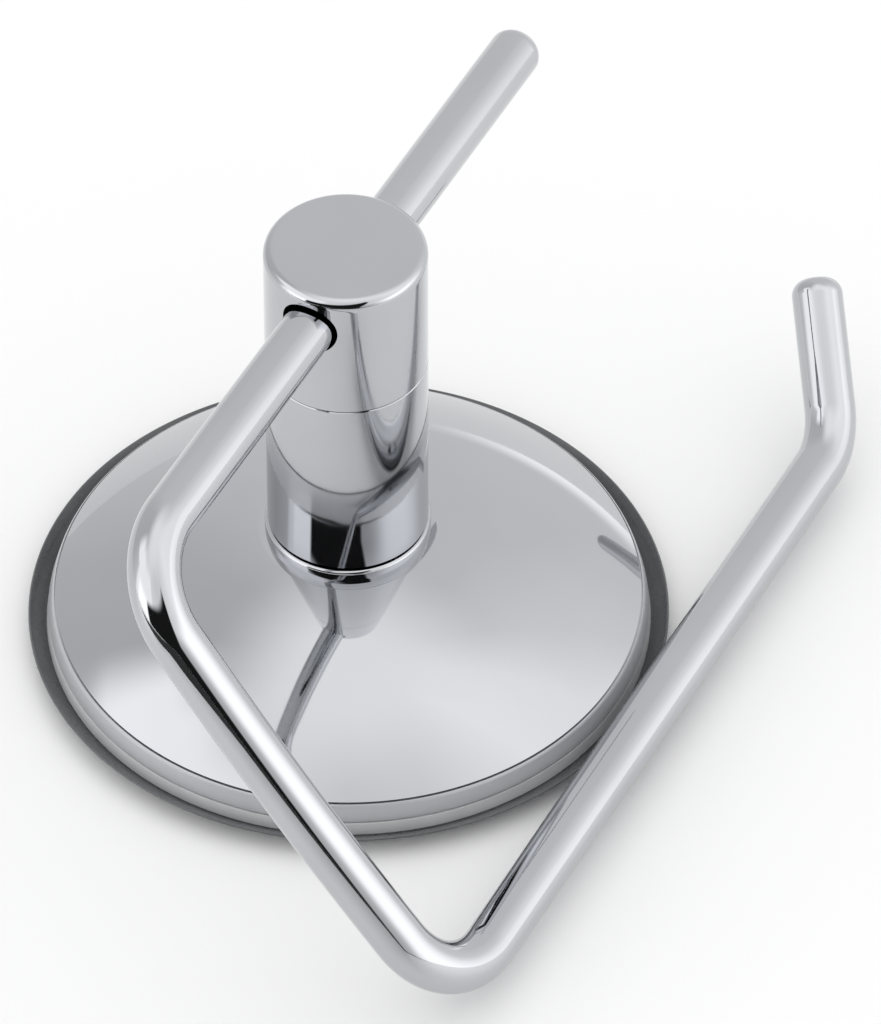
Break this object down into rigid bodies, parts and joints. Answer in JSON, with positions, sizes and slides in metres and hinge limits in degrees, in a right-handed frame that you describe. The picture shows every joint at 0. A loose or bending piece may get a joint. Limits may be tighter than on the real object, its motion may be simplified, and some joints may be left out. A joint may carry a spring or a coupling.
{
  "type": "toilet roll holder",
  "caption": "Suction-mounted toilet roll holder: soft pad under a polished dome, twist-lock post and a bent wire arm that swings in a cross hole through the post.",
  "frame": {"origin": "centre of the pad's flat underside, the face that goes on the wall", "axes": "+Z out along the post, away from the wall; +X along the arm's pivot bar towards its free end; the roll bar rests on the -Y side"},
  "size_m": [0.1265, 0.0859, 0.0648],
  "materials": {
    "chrome": "polished chrome plate",
    "pad_pvc": "smooth soft PVC, dark grey, semi-gloss",
    "nylon": "black nylon, dull",
    "moulding": "light grey moulded plastic, fine grain",
    "brass": "turned brass",
    "steel": "zinc-plated steel"
  },
  "bodies": {
    "base": {"suction_pad": "pad_pvc", "base_cup": "moulding", "dome_cover": "chrome", "collar_ring": "chrome", "thrust_washer": "nylon"},
    "stud": {"pad_stud": "steel"},
    "barrel": {"locking_barrel": "chrome", "clamp_nut": "brass", "barrel_plug": "moulding", "swivel_washer": "nylon"},
    "head": {"post_head": "chrome", "swivel_screw": "steel", "spring_washer": "steel"},
    "arm": {"arm_rod": "chrome"}
  },
  "joints": [
    {"name": "lock_twist", "type": "hinge", "parent": "base", "child": "barrel", "pos_m": [0, 0, 0.01946], "axis": [0, 0, -1], "range_deg": [0, 360]},
    {"name": "stud_lift", "type": "slide", "parent": "base", "child": "stud", "axis": [0, 0, 1], "range_m": [0, 0.003]},
    {"name": "head_swivel", "type": "hinge", "parent": "barrel", "child": "head", "pos_m": [0, 0, 0.04656], "axis": [0, 0, 1], "continuous": true},
    {"name": "arm_swing", "type": "hinge", "parent": "head", "child": "arm", "pos_m": [0, 0, 0.05941], "axis": [-1, 0, 0], "range_deg": [0, 283.5]}
  ],
  "couplings": [
    {"joint": "stud_lift", "follows": "lock_twist", "m_per_rad": 0.00047746}
  ]
}
